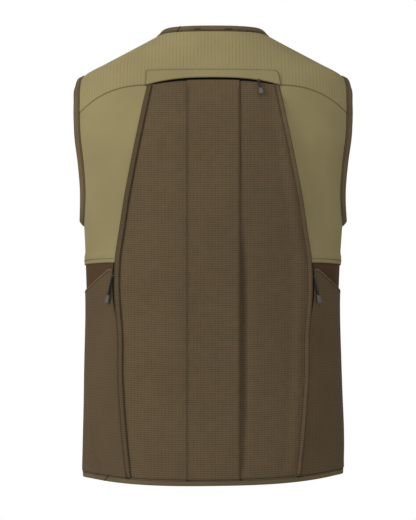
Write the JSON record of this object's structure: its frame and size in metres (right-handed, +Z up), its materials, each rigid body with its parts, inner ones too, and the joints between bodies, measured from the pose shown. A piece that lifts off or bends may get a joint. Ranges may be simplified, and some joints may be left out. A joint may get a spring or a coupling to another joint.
{
  "type": "hunting vest",
  "caption": "Sleeveless zip-front hunting vest with khaki yoke and sides, brown pleated back game bag, flap-covered top zip and slanted side pockets, filled out as if worn.",
  "frame": {"origin": "midway between the two high points of the shoulders, where a wearer's shoulders hold the vest up", "axes": "+Z up, +Y the way the wearer faces, +X towards the wearer's right"},
  "size_m": [0.4328, 0.2625, 0.7033],
  "materials": {
    "khaki_ripstop": "khaki ripstop with fine upright ribs, matte",
    "khaki_stretch": "smooth khaki stretch twill, matte",
    "brown_ripstop": "brown cloth with a fine woven grid, matte",
    "brown_smooth": "smooth dark brown cloth, slight sheen",
    "binding": "ribbed dark brown binding tape",
    "zip_tape": "near black woven tape with a coil chain",
    "slider_metal": "dark coated zinc",
    "pull_cord": "grey-brown braided cord",
    "grip_plastic": "grey moulded plastic, satin"
  },
  "bodies": {
    "vest": {"yoke": "khaki_ripstop", "yoke_flap": "khaki_stretch", "bag_left": "brown_ripstop", "bag_centre": "brown_ripstop", "bag_right": "brown_ripstop", "bag_placket_left": "brown_ripstop", "bag_placket_right": "brown_ripstop", "upper_side_left": "khaki_stretch", "upper_side_right": "khaki_stretch", "front_upper_left": "khaki_stretch", "front_upper_right": "khaki_stretch", "lower_side_left": "brown_smooth", "lower_side_right": "brown_smooth", "pocket_left": "brown_ripstop", "pocket_right": "brown_ripstop", "front_lower_left": "brown_ripstop", "front_lower_right": "brown_ripstop", "armhole_binding_left": "binding", "armhole_binding_right": "binding", "neck_binding": "binding", "hem_binding": "binding", "front_zip": "zip_tape", "top_zip": "zip_tape", "side_zip_left": "zip_tape", "side_zip_right": "zip_tape", "front_slider": "slider_metal", "top_slider": "slider_metal", "side_left_slider": "slider_metal", "side_right_slider": "slider_metal"},
    "front_pull": {"front_pull_cord": "pull_cord", "front_pull_grip": "grip_plastic"},
    "top_pull": {"top_pull_cord": "pull_cord", "top_pull_grip": "grip_plastic"},
    "side_left_pull": {"side_left_pull_cord": "pull_cord", "side_left_pull_grip": "grip_plastic"},
    "side_right_pull": {"side_right_pull_cord": "pull_cord", "side_right_pull_grip": "grip_plastic"}
  },
  "joints": [
    {"name": "front_pull_swing", "type": "hinge", "parent": "vest", "child": "front_pull", "pos_m": [0, 0.08771, -0.09747], "axis": [1, 0, 0], "range_deg": [0, 150]},
    {"name": "top_pull_swing", "type": "hinge", "parent": "vest", "child": "top_pull", "pos_m": [0.06918, -0.10666, -0.08084], "axis": [-0.9943, -0.1067, 0], "range_deg": [0, 150]},
    {"name": "side_left_pull_swing", "type": "hinge", "parent": "vest", "child": "side_left_pull", "pos_m": [-0.15326, -0.10222, -0.37933], "axis": [-0.8309, 0.5565, 0], "range_deg": [0, 150]},
    {"name": "side_right_pull_swing", "type": "hinge", "parent": "vest", "child": "side_right_pull", "pos_m": [0.15326, -0.10222, -0.37929], "axis": [-0.8309, -0.5565, 0], "range_deg": [0, 150]}
  ]
}
